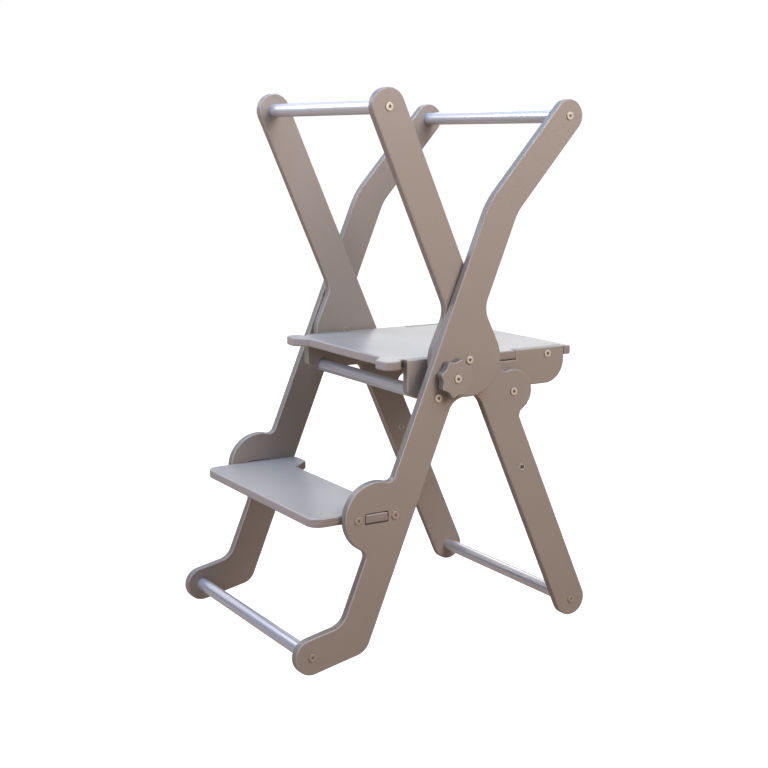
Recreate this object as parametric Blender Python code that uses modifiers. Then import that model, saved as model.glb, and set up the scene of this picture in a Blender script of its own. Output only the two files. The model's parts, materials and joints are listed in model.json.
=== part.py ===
"""Folding learning tower: two hinged frames of painted board, a hooked platform and a step.

The outer frame carries the step, the inner frame carries the platform, and the
two turn about a pivot bolt at each side. The platform turns on the inner frame
and its aprons hook over a dowel of the outer frame. A scalloped knob at each
side clamps the two frames together through a curved slot.

X is the width, -Y the front with the step, +Z up. The origin is on the floor,
midway between the front and the rear feet.
"""
import math

import bmesh
import bpy
from mathutils import Matrix

# Boards and gaps, in metres
BOARD = 0.015
STRIP = 0.057
ARM_STRIP = 0.0525
WIDTH = 0.430
PANEL_GAP = 0.002
APRON_GAP = 0.008
FIT = 0.0003
EDGE_ROUND = 0.0012
CHORD = 0.00019
DOWEL_SIDES = 22
BOLT_SIDES = 12
RING_SIDES = 14

# Side view of the frames: Y from the origin, Z from the floor
PIVOT_Y = 0.0287
PIVOT_Z = 0.4653
HUB_R = 0.0595
HUB_FLANK = math.radians(48.0)
HUB_FILLET = 0.040
HUB_LOWER_FILLET = 0.030
FRONT_FOOT_Y = -0.2553
REAR_FOOT_Y = 0.2553
OUTER_LEAN = math.radians(22.5)
OUTER_OFFSET = 0.0324
KNEE_Z = 0.0442
BOOT_FILLET = 0.030
ELBOW_RISE = 0.2372
ELBOW_ROUND = 0.080
ARM_LENGTH = 0.1887
ARM_LEAN = math.radians(41.6)
INNER_OFFSET = 0.0316
INNER_RISE = 0.3899

# Step and its brackets, each placed from the strip and from the bracket's centre
STEP_TOP = 0.2399
STEP_AHEAD = 0.1045
STEP_DEPTH = 0.1410
STEP_CORNER = 0.022
STEP_EAR = 0.036
STEP_EAR_WIDTH = 0.050
STEP_EAR_SLOPE = 0.024
STEP_EAR_ROUND = 0.014
BRACKET_R = 0.0571
BRACKET_OFFSET = 0.0332
BRACKET_FILLET = 0.012
TENON = 0.0388
TENON_SHIFT = -0.0022
TENON_CLEAR = 0.0010
SLOT_ROUND = 0.002
STEP_SCREW_SPACING = 0.0659

# Platform and its aprons, each placed from the rest dowel that the hook sits on
PLATFORM_TOP = 0.4660
PLATFORM_OVERHANG = 0.014
FRONT_OVERHANG = 0.0182
APRON_DEPTH = 0.0615
APRON_AHEAD = 0.0317
APRON_LENGTH = 0.3082
APRON_REAR_RISE = 0.001
APRON_REAR_ROUND = 0.038
APRON_FRONT_RISE = 0.0065
APRON_FRONT_ROUND = 0.005
APRON_LOBE_R = 0.017
APRON_LOBE_FILLET = 0.010
EAR = 0.0205
EAR_WIDTH = 0.0355
EAR_SLOPE = 0.020
EAR_ROUND = 0.013
EAR_GAP = 0.007
EAR_REAR_ROUND = 0.012
TAB_SETBACK = 0.0995
TAB_LENGTH = 0.119
TAB_CLEAR = 0.0008
APRON_FRONT_SCREW = 0.0445
APRON_REAR_SCREW = 0.0348
APRON_SCREW_DROP = 0.0025
LOBE_R = 0.0365
LOBE_FILLET = 0.010
LOBE_LOWER_FILLET = 0.012
LOBE_OFFSET = 0.0338
PLATFORM_PIVOT_DROP = 0.0630
HOOK_HOLD = 0.005
HOOK_FLARE = 0.0020
HOOK_ROUND = 0.0030

# Dowels and fasteners
DOWEL_R = 0.011
CAP_R = 0.0064
CAP_T = 0.0016
CAP_CHAMFER = 0.0007
SOCKET_ACROSS = 0.0040
SOCKET_DEPTH = 0.0010
BOLT_R = 0.0030
BOLT_GRIP = 0.040
SCREW_R = 0.0020
SCREW_GRIP = 0.032
PIVOT_BOLT_R = 0.0040
NUT_R = 0.0070
NUT_T = 0.0026
WASHER_R = 0.0110
LOCK_NUT_R = 0.0090
LOCK_NUT_T = 0.0045
INSERT_R = 0.0062
INSERT_BORE = 0.0040
FOLD_ANGLE = math.radians(42.0)
LEG_INSERT_Z = 0.2737

# Knobs, each placed on the way from the frame pivot to the rest dowel and a little above it
KNOB_AHEAD = 0.0413
KNOB_ABOVE = 0.0047
KNOB_TIP = 0.0310
KNOB_VALLEY = 0.0265
KNOB_TIP_ROUND = 0.0045
KNOB_LOBES = 8
KNOB_TURN = math.radians(30.0)
KNOB_WASHER_T = 0.0016

# Colours of the finishes
PAINT = (0.330, 0.282, 0.242)
CREAM = (0.700, 0.640, 0.530)
STEEL = (0.550, 0.540, 0.520)
NYLON = (0.620, 0.600, 0.560)

# Planes of the boards across X
OUTER_X = (WIDTH - BOARD) / 2
INNER_X = OUTER_X - BOARD - PANEL_GAP
APRON_X = INNER_X - BOARD - APRON_GAP
STEP_Z = STEP_TOP - BOARD / 2
PLATFORM_Z = PLATFORM_TOP - BOARD / 2
SIDES = (("left", -1), ("right", 1))


def direction(angle):
    """Unit vector in a flat drawing, turned from its first axis."""
    return math.cos(angle), math.sin(angle)


def along(point, angle, distance, offset=0.0):
    """A point further along a line, and to its right by the offset."""
    u, v = direction(angle)
    return point[0] + u * distance + v * offset, point[1] + v * distance - u * offset


def angle_of(start, end):
    """Direction of the line from start to end."""
    return math.atan2(end[1] - start[1], end[0] - start[0])


def crossing(point_a, angle_a, point_b, angle_b):
    """Where two lines of a drawing meet."""
    ua, va = direction(angle_a)
    ub, vb = direction(angle_b)
    du, dv = point_b[0] - point_a[0], point_b[1] - point_a[1]
    reach = (du * vb - dv * ub) / (ua * vb - va * ub)
    return along(point_a, angle_a, reach)


def arc_steps(radius, angle):
    """How many chords keep an arc within the chord error."""
    if radius < CHORD:
        return 0
    widest = 2 * math.acos(1 - CHORD / radius)
    return max(1, math.ceil(abs(angle) / widest))


def belt(stops):
    """Outline that runs as a belt, anticlockwise, round circles (u, v, radius).

    A positive radius is a convex corner, a negative one a hollow and zero a
    sharp point. Straight lines tangent to both circles join each pair.
    """
    headings = []
    for (ua, va, ra), (ub, vb, rb) in zip(stops, stops[1:] + stops[:1]):
        span = math.hypot(ub - ua, vb - va)
        lean = max(-1.0, min(1.0, (ra - rb) / span))
        headings.append(math.atan2(vb - va, ub - ua) + math.asin(lean))
    points = []
    for index, (u, v, radius) in enumerate(stops):
        start, end = headings[index - 1], headings[index]
        turn = (end - start + math.pi) % (2 * math.pi) - math.pi
        if radius > 0 and turn < -1e-6:
            turn += 2 * math.pi
        if radius < 0 and turn > 1e-6:
            turn -= 2 * math.pi
        steps = arc_steps(abs(radius), turn)
        for step in range(steps + 1):
            heading = start + turn * step / max(steps, 1)
            points.append(along((u, v), heading, 0.0, radius))
    return tidy(points)


def tidy(points):
    """Drop points that fall on the one before them."""
    kept = []
    for point in points:
        if not kept or math.dist(point, kept[-1]) > 1e-5:
            kept.append(point)
    if math.dist(kept[0], kept[-1]) < 1e-5:
        kept.pop()
    return kept


def disc_fillet(point, angle, disc, disc_r, fillet, ahead, flank=None):
    """Hollow corner between an edge line and a disc that stands out of it.

    The edge line runs through point at angle, with the board on its left.
    ahead is 1 where the fillet follows the disc and -1 where it comes before.
    A flank is the angle to the edge line of a straight stretch between the two.
    """
    base = along(point, angle, 0.0, fillet)
    u, v = direction(angle)
    du, dv = disc[0] - base[0], disc[1] - base[1]
    reach = du * u + dv * v
    off = du * v - dv * u
    if flank is None:
        reach += ahead * math.sqrt((disc_r + fillet) ** 2 - off ** 2)
    else:
        reach += ahead * (disc_r + fillet + off * math.cos(flank)) / math.sin(flank)
    centre = along(base, angle, reach)
    return centre[0], centre[1], -fillet


def bend(before, corner, after, halves, radius):
    """Circle that rounds the right-hand edge of a strip where it bends.

    The strip's half width before and after the corner may differ.
    """
    first, second = angle_of(before, corner), angle_of(corner, after)
    start = along(corner, first, 0.0, halves[0] - radius)
    end = along(corner, second, 0.0, halves[1] - radius)
    centre = crossing(start, first, end, second)
    return centre[0], centre[1], radius


def circle(centre, radius):
    """Outline of a round hole, its sides standing just outside the radius."""
    sides = arc_steps(radius, 2 * math.pi)
    outer = radius / math.cos(math.pi / sides)
    turns = (2 * math.pi * (side + 0.5) / sides for side in range(sides))
    return [(centre[0] + outer * math.cos(turn), centre[1] + outer * math.sin(turn)) for turn in turns]


def rounded_box(low, high, radius):
    """Outline of a rectangle with rounded corners."""
    return belt([
        (low[0] + radius, low[1] + radius, radius),
        (high[0] - radius, low[1] + radius, radius),
        (high[0] - radius, high[1] - radius, radius),
        (low[0] + radius, high[1] - radius, radius),
    ])


def curved_slot(centre, radius, start, end, half_width):
    """Outline of a slot that follows an arc about the centre."""
    first = along(centre, start, radius)
    last = along(centre, end, radius)
    steps = arc_steps(radius + half_width, end - start)
    end_steps = arc_steps(half_width, math.pi)
    points = []
    for step in range(steps + 1):
        points.append(along(centre, start + (end - start) * step / steps, radius + half_width))
    for step in range(1, end_steps):
        points.append(along(last, end + math.pi * step / end_steps, half_width))
    for step in range(steps + 1):
        points.append(along(centre, end - (end - start) * step / steps, radius - half_width))
    for step in range(1, end_steps):
        points.append(along(first, start + math.pi + math.pi * step / end_steps, half_width))
    return points


def new_collection(name):
    """A collection in the scene, emptied of an older one with its name."""
    collection = bpy.data.collections.get(name) or bpy.data.collections.new(name)
    if collection.name not in bpy.context.scene.collection.children:
        bpy.context.scene.collection.children.link(collection)
    return collection


def finish(name, colour, roughness, metallic=0.0):
    """A Principled material of one colour."""
    material = bpy.data.materials.new(name)
    material.use_nodes = True
    shader = material.node_tree.nodes["Principled BSDF"]
    shader.inputs["Base Color"].default_value = (*colour, 1.0)
    shader.inputs["Roughness"].default_value = roughness
    shader.inputs["Metallic"].default_value = metallic
    return material


def baked(obj):
    """Mesh of an object with its modifiers applied; the object is removed."""
    graph = bpy.context.evaluated_depsgraph_get()
    mesh = bpy.data.meshes.new_from_object(obj.evaluated_get(graph))
    bpy.data.objects.remove(obj)
    return mesh


def plate_mesh(name, outlines, thickness):
    """Flat plate in its own XY plane, cut from sheet along closed outlines."""
    curve = bpy.data.curves.new(name, "CURVE")
    curve.dimensions = "2D"
    curve.fill_mode = "BOTH"
    curve.extrude = thickness / 2
    for outline in outlines:
        spline = curve.splines.new("POLY")
        spline.points.add(len(outline) - 1)
        for point, (u, v) in zip(spline.points, outline):
            point.co = (u, v, 0.0, 1.0)
        spline.use_cyclic_u = True
    flat = bpy.data.objects.new(name, curve)
    bpy.context.scene.collection.objects.link(flat)
    mesh = baked(flat)
    bpy.data.curves.remove(curve)
    welded = bmesh.new()
    welded.from_mesh(mesh)
    bmesh.ops.remove_doubles(welded, verts=welded.verts, dist=1e-6)
    bmesh.ops.dissolve_limit(
        welded, angle_limit=math.radians(0.5), verts=welded.verts, edges=welded.edges
    )
    bmesh.ops.recalc_face_normals(welded, faces=welded.faces)
    weight = welded.edges.layers.float.new("bevel_weight_edge")
    for edge in welded.edges:
        level = abs(edge.verts[0].co.z - edge.verts[1].co.z) < FIT
        edge[weight] = float(level and edge.calc_face_angle() > math.pi / 4)
    welded.to_mesh(mesh)
    welded.free()
    mesh.name = name
    return mesh


def turned_mesh(name, profile, sides, ring=False):
    """Solid turned about Z from (radius, height) points, listed top to bottom."""
    mesh = bpy.data.meshes.new(name)
    edges = [(index, index + 1) for index in range(len(profile) - 1)]
    if ring:
        edges.append((len(profile) - 1, 0))
    mesh.from_pydata([(radius, 0.0, height) for radius, height in profile], edges, [])
    blank = bpy.data.objects.new(name, mesh)
    bpy.context.scene.collection.objects.link(blank)
    screw = blank.modifiers.new("turn", "SCREW")
    screw.steps = sides
    screw.render_steps = sides
    screw.use_merge_vertices = True
    screw.merge_threshold = 0.00001
    solid = baked(blank)
    bpy.data.meshes.remove(mesh)
    solid.name = name
    return solid


def rods_mesh(name, rods):
    """Separate round rods along X in one mesh: (x, y, z, radius, length) each."""
    turn = Matrix.Rotation(math.pi / 2, 4, "Y")
    work = bmesh.new()
    for x, y, z, radius, length in rods:
        bmesh.ops.create_cone(
            work, cap_ends=True, segments=BOLT_SIDES, radius1=radius, radius2=radius,
            depth=length, matrix=Matrix.Translation((x, y, z)) @ turn,
        )
    mesh = bpy.data.meshes.new(name)
    work.to_mesh(mesh)
    work.free()
    return mesh


def world_place(parent):
    """Place of a parent empty in the scene."""
    if parent is None:
        return (0.0, 0.0, 0.0)
    above = world_place(parent.parent)
    return tuple(a + b for a, b in zip(above, parent.location))


def put(name, mesh, place, material, parent=None, turn=(0.0, 0.0, 0.0), smooth=True):
    """Place one piece of the tower, with its own finish, under its parent."""
    piece = bpy.data.objects.new(name, mesh)
    tower.objects.link(piece)
    base = world_place(parent)
    piece.parent = parent
    piece.location = tuple(a - b for a, b in zip(place, base))
    piece.rotation_euler = turn
    mesh.materials.clear()
    mesh.materials.append(material)
    if smooth:
        mesh.shade_smooth()
        mesh.set_sharp_from_angle(angle=math.radians(30))
    return piece


def axis_empty(name, place, parent=None):
    """Empty on a joint's axis, which the pieces of a moving body hang from."""
    empty = bpy.data.objects.new(name, None)
    tower.objects.link(empty)
    base = world_place(parent)
    empty.parent = parent
    empty.location = tuple(a - b for a, b in zip(place, base))
    empty.empty_display_size = 0.05
    return empty


def cutter(name, mesh, turn=(0.0, 0.0, 0.0)):
    """A tool that cuts holes; it is no piece of the tower."""
    tool = bpy.data.objects.new(name, mesh)
    cutters.objects.link(tool)
    tool.rotation_euler = turn
    tool.hide_render = True
    tool.display_type = "WIRE"
    return tool


def reflect(piece):
    """Make the whole of a board from its right half."""
    mirror = piece.modifiers.new("left half", "MIRROR")
    mirror.use_axis = (True, False, False)
    mirror.use_bisect_axis = (True, False, False)
    mirror.merge_threshold = 0.00001


def soften(piece):
    """Rounded edges of a painted board, all round both of its faces."""
    bevel = piece.modifiers.new("rounded edges", "BEVEL")
    bevel.width = EDGE_ROUND
    bevel.segments = 1
    bevel.limit_method = "WEIGHT"
    bevel.use_clamp_overlap = False


def drill(piece, tool):
    """Cut a tool's holes out of a piece."""
    holes = piece.modifiers.new("holes", "BOOLEAN")
    holes.operation = "DIFFERENCE"
    holes.solver = "EXACT"
    holes.object = tool


# Boards in the side view lie with their own XY plane in the world's YZ plane
SIDE_VIEW = (math.pi / 2, 0.0, math.pi / 2)

# Points of the side view that the frames are drawn from
PIVOT = (PIVOT_Y, PIVOT_Z)
HALF = STRIP / 2
ARM_HALF = ARM_STRIP / 2
OUTER_UP = math.pi / 2 - OUTER_LEAN
OUTER_MID = along(PIVOT, OUTER_UP, 0.0, -OUTER_OFFSET)
FRONT_FOOT = (FRONT_FOOT_Y, HALF)
KNEE = crossing(OUTER_MID, OUTER_UP, (0.0, KNEE_Z), 0.0)
ELBOW = crossing(OUTER_MID, OUTER_UP, (0.0, PIVOT_Z + ELBOW_RISE), 0.0)
UPPER_REAR = along(ELBOW, math.pi / 2 - ARM_LEAN, ARM_LENGTH)
REAR_FOOT = (REAR_FOOT_Y, HALF)
INNER_UP = angle_of(REAR_FOOT, PIVOT) - math.asin(INNER_OFFSET / math.dist(REAR_FOOT, PIVOT))
UPPER_FRONT = crossing(REAR_FOOT, INNER_UP, (0.0, PIVOT_Z + INNER_RISE), 0.0)


def on_strip(point, angle, height, offset=0.0):
    """Point of a strip's middle line at a height, shifted to its right."""
    middle = crossing(point, angle, (0.0, height), 0.0)
    side = direction(angle)[1]
    return middle[0] + offset / side, height


BRACKET = on_strip(OUTER_MID, OUTER_UP, STEP_Z, -BRACKET_OFFSET)
STEP_MID_Y = BRACKET[0] + TENON_SHIFT
STEP_FRONT_Y = STEP_MID_Y - STEP_AHEAD
REST_DOWEL = on_strip(OUTER_MID, OUTER_UP, PLATFORM_TOP - APRON_DEPTH + HOOK_HOLD)
APRON_FRONT_Y = REST_DOWEL[0] - APRON_AHEAD
APRON_REAR_Y = APRON_FRONT_Y + APRON_LENGTH
TAB_REAR_Y = APRON_REAR_Y - TAB_SETBACK
PLATFORM_PIVOT = on_strip(REAR_FOOT, INNER_UP, PLATFORM_TOP - PLATFORM_PIVOT_DROP, LOBE_OFFSET)
KNOB = along(PIVOT, angle_of(PIVOT, REST_DOWEL), KNOB_AHEAD, KNOB_ABOVE)
KNOB_REACH = math.dist(PIVOT, KNOB)
KNOB_ANGLE = angle_of(PIVOT, KNOB)
LEG_INSERT = on_strip(REAR_FOOT, INNER_UP, LEG_INSERT_Z)


def outer_panel_outline():
    """Boot, leg with step bracket, hub and rearward arm, in one board."""
    leg_edge = along(OUTER_MID, OUTER_UP, 0.0, HALF)
    front_edge = along(OUTER_MID, OUTER_UP + math.pi, 0.0, HALF)
    down = OUTER_UP + math.pi
    return belt([
        (*FRONT_FOOT, HALF),
        (*KNEE, HALF),
        disc_fillet(leg_edge, OUTER_UP, PIVOT, HUB_R, HUB_LOWER_FILLET, -1),
        (*PIVOT, HUB_R),
        disc_fillet(leg_edge, OUTER_UP, PIVOT, HUB_R, HUB_FILLET, 1, HUB_FLANK),
        bend(KNEE, ELBOW, UPPER_REAR, (HALF, ARM_HALF), -ELBOW_ROUND),
        (*UPPER_REAR, ARM_HALF),
        bend(UPPER_REAR, ELBOW, KNEE, (ARM_HALF, HALF), ELBOW_ROUND + STRIP),
        disc_fillet(front_edge, down, BRACKET, BRACKET_R, BRACKET_FILLET, -1),
        (*BRACKET, BRACKET_R),
        disc_fillet(front_edge, down, BRACKET, BRACKET_R, BRACKET_FILLET, 1),
        bend(ELBOW, KNEE, FRONT_FOOT, (HALF, HALF), -BOOT_FILLET),
    ])


def inner_panel_outline():
    """Straight leg with the hub in front and the platform's lobe behind."""
    down = INNER_UP + math.pi
    rear_edge = along(REAR_FOOT, INNER_UP, 0.0, HALF)
    front_edge = along(REAR_FOOT, down, 0.0, HALF)
    return belt([
        (*REAR_FOOT, HALF),
        disc_fillet(rear_edge, INNER_UP, PLATFORM_PIVOT, LOBE_R, LOBE_LOWER_FILLET, -1),
        (*PLATFORM_PIVOT, LOBE_R),
        disc_fillet(rear_edge, INNER_UP, PLATFORM_PIVOT, LOBE_R, LOBE_FILLET, 1),
        (*UPPER_FRONT, HALF),
        disc_fillet(front_edge, down, PIVOT, HUB_R, HUB_FILLET, -1, HUB_FLANK),
        (*PIVOT, HUB_R),
        disc_fillet(front_edge, down, PIVOT, HUB_R, HUB_LOWER_FILLET, 1),
    ])


def apron_outline():
    """Board under each side of the platform, hooked over the rest dowel.

    Its lower edge rises to the front from the hook. A lobe hangs below that
    edge round the bolt that it turns on, and behind the lobe the edge lies a
    little higher.
    """
    low = PLATFORM_TOP - APRON_DEPTH
    front_low = low + APRON_FRONT_RISE
    rear_low = low + APRON_REAR_RISE
    lobe = (PLATFORM_PIVOT, APRON_LOBE_R, APRON_LOBE_FILLET)
    wall = DOWEL_R + FIT
    rest_y, rest_z = REST_DOWEL
    tab_low = PLATFORM_TOP - BOARD - TAB_CLEAR
    tab_rear = TAB_REAR_Y + TAB_CLEAR
    tab_front = TAB_REAR_Y - TAB_LENGTH - TAB_CLEAR
    return belt([
        (APRON_FRONT_Y + APRON_FRONT_ROUND, front_low + APRON_FRONT_ROUND, APRON_FRONT_ROUND),
        (rest_y - wall - HOOK_ROUND, low + HOOK_ROUND, HOOK_ROUND),
        (rest_y, rest_z, -wall),
        (rest_y + wall + HOOK_FLARE + HOOK_ROUND, low + HOOK_ROUND, HOOK_ROUND),
        disc_fillet((0.0, low), 0.0, *lobe, -1),
        (*PLATFORM_PIVOT, APRON_LOBE_R),
        disc_fillet((0.0, rear_low), 0.0, *lobe, 1),
        (APRON_REAR_Y - APRON_REAR_ROUND, rear_low + APRON_REAR_ROUND, APRON_REAR_ROUND),
        (APRON_REAR_Y, PLATFORM_TOP, 0.0),
        (tab_rear, PLATFORM_TOP, 0.0),
        (tab_rear, tab_low, 0.0),
        (tab_front, tab_low, 0.0),
        (tab_front, PLATFORM_TOP, 0.0),
        (APRON_FRONT_Y, PLATFORM_TOP, 0.0),
    ])


def platform_outline():
    """Right half of the platform, a little past the middle: tab, ear and rear corner."""
    out = APRON_X + BOARD / 2
    inside = APRON_X - BOARD / 2 - FIT
    front = APRON_FRONT_Y - FRONT_OVERHANG
    tip = front - EAR
    rear = APRON_REAR_Y + FIT
    ear_in = out - EAR_WIDTH
    ear_rear = APRON_FRONT_Y - EAR_GAP
    return belt([
        (-BOARD, front, 0.0),
        (ear_in - EAR_SLOPE, front, 0.0),
        (ear_in + HOOK_ROUND, tip + HOOK_ROUND, HOOK_ROUND),
        (out - EAR_ROUND, tip + EAR_ROUND, EAR_ROUND),
        (out - EAR_REAR_ROUND, ear_rear - EAR_REAR_ROUND, EAR_REAR_ROUND),
        (inside, ear_rear, 0.0),
        (inside, TAB_REAR_Y - TAB_LENGTH, 0.0),
        (out, TAB_REAR_Y - TAB_LENGTH, 0.0),
        (out, TAB_REAR_Y, 0.0),
        (inside, TAB_REAR_Y, 0.0),
        (inside, rear, 0.0),
        (out, rear, 0.0),
        (out - HOOK_ROUND, APRON_REAR_Y + PLATFORM_OVERHANG - HOOK_ROUND, HOOK_ROUND),
        (-BOARD, APRON_REAR_Y + PLATFORM_OVERHANG, 0.0),
    ])


def step_outline():
    """Right half of the step, a little past the middle: tenon and rear ear."""
    side = OUTER_X - BOARD / 2 - FIT
    out = OUTER_X + BOARD / 2
    rear = STEP_FRONT_Y + STEP_DEPTH
    tip = rear + STEP_EAR
    ear_in = side - STEP_EAR_WIDTH
    return belt([
        (-BOARD, STEP_FRONT_Y, 0.0),
        (side - STEP_CORNER, STEP_FRONT_Y + STEP_CORNER, STEP_CORNER),
        (side, STEP_MID_Y - TENON / 2, 0.0),
        (out, STEP_MID_Y - TENON / 2, 0.0),
        (out, STEP_MID_Y + TENON / 2, 0.0),
        (side, STEP_MID_Y + TENON / 2, 0.0),
        (side - STEP_EAR_ROUND, tip - STEP_EAR_ROUND, STEP_EAR_ROUND),
        (ear_in + STEP_EAR_ROUND, tip - STEP_EAR_ROUND, STEP_EAR_ROUND),
        (ear_in - STEP_EAR_SLOPE, rear, 0.0),
        (-BOARD, rear, 0.0),
    ])


def knob_outline(first):
    """Scalloped rim: small convex tips joined by wide hollows, the first tip at an angle."""
    pitch = 2 * math.pi / KNOB_LOBES
    tip_centre = KNOB_TIP - KNOB_TIP_ROUND
    across = tip_centre * math.cos(pitch / 2) - KNOB_VALLEY
    aside = tip_centre * math.sin(pitch / 2)
    hollow = (across ** 2 + aside ** 2 - KNOB_TIP_ROUND ** 2) / (2 * (KNOB_TIP_ROUND + across))
    stops = []
    for lobe in range(KNOB_LOBES):
        tip = direction(first + pitch * lobe)
        valley = direction(first + pitch * (lobe + 0.5))
        stops.append((tip_centre * tip[0], tip_centre * tip[1], KNOB_TIP_ROUND))
        reach = KNOB_VALLEY + hollow
        stops.append((reach * valley[0], reach * valley[1], -hollow))
    return belt(stops)


def cap_profile(shank_r, length):
    """Low chamfered head with its seat at height zero, and the shank below."""
    return [
        (0.0, CAP_T),
        (CAP_R - CAP_CHAMFER, CAP_T),
        (CAP_R, CAP_T - CAP_CHAMFER),
        (CAP_R, 0.0),
        (shank_r, 0.0),
        (shank_r, -length),
        (0.0, -length),
    ]


def fastener_mesh(name, shank_r, length):
    """Turned bolt or screw with a hexagon socket in its head."""
    blank = bpy.data.objects.new(name, turned_mesh(name, cap_profile(shank_r, length), BOLT_SIDES))
    bpy.context.scene.collection.objects.link(blank)
    key = bmesh.new()
    bmesh.ops.create_cone(
        key, cap_ends=True, segments=6, radius1=SOCKET_ACROSS / math.sqrt(3),
        radius2=SOCKET_ACROSS / math.sqrt(3), depth=2 * SOCKET_DEPTH,
        matrix=Matrix.Translation((0.0, 0.0, CAP_T)),
    )
    key_mesh = bpy.data.meshes.new("key")
    key.to_mesh(key_mesh)
    key.free()
    tool = bpy.data.objects.new("key", key_mesh)
    bpy.context.scene.collection.objects.link(tool)
    drill(blank, tool)
    mesh = baked(blank)
    bpy.data.objects.remove(tool)
    mesh.name = name
    return mesh


def ring_mesh(name, bore, outer, low, high):
    """Washer, bush or sleeve between two heights."""
    profile = [(bore, high), (outer, high), (outer, low), (bore, low)]
    return turned_mesh(name, profile, RING_SIDES, ring=True)


def heads_out(side):
    """Turn of a fastener whose head faces away from the middle."""
    return 0.0, side * math.pi / 2, 0.0


for old in list(bpy.data.objects):
    bpy.data.objects.remove(old)
tower = new_collection("learning_tower")
cutters = new_collection("cutters")

paint = finish("taupe_paint", PAINT, 0.45)
cream = finish("cream_cap", CREAM, 0.35, 0.2)
steel = finish("zinc_steel", STEEL, 0.35, 0.9)
nylon = finish("pale_nylon", NYLON, 0.5)

frame_pivot = axis_empty("frame_pivot", (0.0, *PIVOT))
platform_pivot = axis_empty("platform_pivot", (0.0, *PLATFORM_PIVOT), frame_pivot)


def side_board(name, outline, side_x, parent, tool):
    """One upright board, with its edges rounded and its holes cut."""
    piece = put(
        name, plate_mesh(name, [outline], BOARD), (side_x, 0.0, 0.0), paint, parent, SIDE_VIEW
    )
    soften(piece)
    drill(piece, tool)
    return piece


def holes_through(name, outlines):
    """Cutter with prisms along X, long enough for the boards of both sides."""
    return cutter(name, plate_mesh(name, outlines, WIDTH + 2 * BOARD), SIDE_VIEW)


# Outer frame: boards, dowels and step
bolt_hole = BOLT_R + FIT
pivot_hole = PIVOT_BOLT_R + FIT
step_slot = rounded_box(
    (STEP_MID_Y - TENON / 2 - TENON_CLEAR, STEP_Z - BOARD / 2 - TENON_CLEAR),
    (STEP_MID_Y + TENON / 2 + TENON_CLEAR, STEP_Z + BOARD / 2 + TENON_CLEAR),
    SLOT_ROUND,
)
step_screws = [(STEP_MID_Y + end * STEP_SCREW_SPACING / 2, STEP_Z) for end in (-1, 1)]
outer_holes = holes_through("outer_panel_holes", [
    circle(FRONT_FOOT, bolt_hole),
    circle(UPPER_REAR, bolt_hole),
    circle(REST_DOWEL, bolt_hole),
    circle(PIVOT, pivot_hole),
    circle(KNOB, pivot_hole),
    circle(step_screws[0], SCREW_R + FIT),
    circle(step_screws[1], SCREW_R + FIT),
    step_slot,
])
for word, side in SIDES:
    side_board(f"outer_panel_{word}", outer_panel_outline(), side * OUTER_X, None, outer_holes)


def dowel(name, place, half_length, parent):
    """Round cross bar with a blind bore in each end for its bolt."""
    bore = (BOLT_R + FIT) / math.cos(math.pi / DOWEL_SIDES)
    deep = half_length - BOLT_GRIP - 2 * FIT
    profile = [
        (0.0, deep),
        (bore, deep),
        (bore, half_length),
        (DOWEL_R, half_length),
        (DOWEL_R, -half_length),
        (bore, -half_length),
        (bore, -deep),
        (0.0, -deep),
    ]
    put(name, turned_mesh(name, profile, DOWEL_SIDES), (0.0, *place), paint, parent, heads_out(1))


outer_half = OUTER_X - BOARD / 2 - FIT
dowel("front_foot_dowel", FRONT_FOOT, outer_half, None)
dowel("upper_rear_dowel", UPPER_REAR, outer_half, None)
dowel("platform_rest_dowel", REST_DOWEL, outer_half, None)

step = put("step_board", plate_mesh("step_board", [step_outline()], BOARD), (0.0, 0.0, STEP_Z), paint)
reflect(step)
soften(step)
step_bores = cutter("step_bores", rods_mesh("step_bores", [
    (side * (OUTER_X - BOARD / 2), y, z, SCREW_R + FIT, 2 * (SCREW_GRIP + FIT))
    for side in (-1, 1) for y, z in step_screws
]))
drill(step, step_bores)

# Inner frame: boards and dowels
slot_margin = math.radians(2.0)
inner_holes = holes_through("inner_panel_holes", [
    circle(REAR_FOOT, bolt_hole),
    circle(UPPER_FRONT, bolt_hole),
    circle(PIVOT, pivot_hole),
    circle(PLATFORM_PIVOT, pivot_hole),
    circle(LEG_INSERT, INSERT_R + FIT),
    curved_slot(
        PIVOT, KNOB_REACH, KNOB_ANGLE - slot_margin, KNOB_ANGLE + FOLD_ANGLE + slot_margin, pivot_hole
    ),
])
for word, side in SIDES:
    side_board(
        f"inner_panel_{word}", inner_panel_outline(), side * INNER_X, frame_pivot, inner_holes
    )
inner_half = INNER_X - BOARD / 2 - FIT
dowel("upper_front_dowel", UPPER_FRONT, inner_half, frame_pivot)
dowel("rear_foot_dowel", REAR_FOOT, inner_half, frame_pivot)

# Platform: board and aprons
apron_screw_z = PLATFORM_Z - APRON_SCREW_DROP
apron_screws = [
    (APRON_FRONT_Y + APRON_FRONT_SCREW, apron_screw_z),
    (APRON_REAR_Y - APRON_REAR_SCREW, apron_screw_z),
]
apron_holes = holes_through("apron_holes", [
    circle(PLATFORM_PIVOT, pivot_hole),
    circle(apron_screws[0], SCREW_R + FIT),
    circle(apron_screws[1], SCREW_R + FIT),
])
for word, side in SIDES:
    side_board(f"platform_apron_{word}", apron_outline(), side * APRON_X, platform_pivot, apron_holes)
platform = put(
    "platform_board", plate_mesh("platform_board", [platform_outline()], BOARD),
    (0.0, 0.0, PLATFORM_Z), paint, platform_pivot,
)
reflect(platform)
soften(platform)
platform_bores = cutter("platform_bores", rods_mesh("platform_bores", [
    (side * (APRON_X - BOARD / 2), y, z, SCREW_R + FIT, 2 * (SCREW_GRIP + FIT))
    for side in (-1, 1) for y, z in apron_screws
]))
drill(platform, platform_bores)

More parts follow.
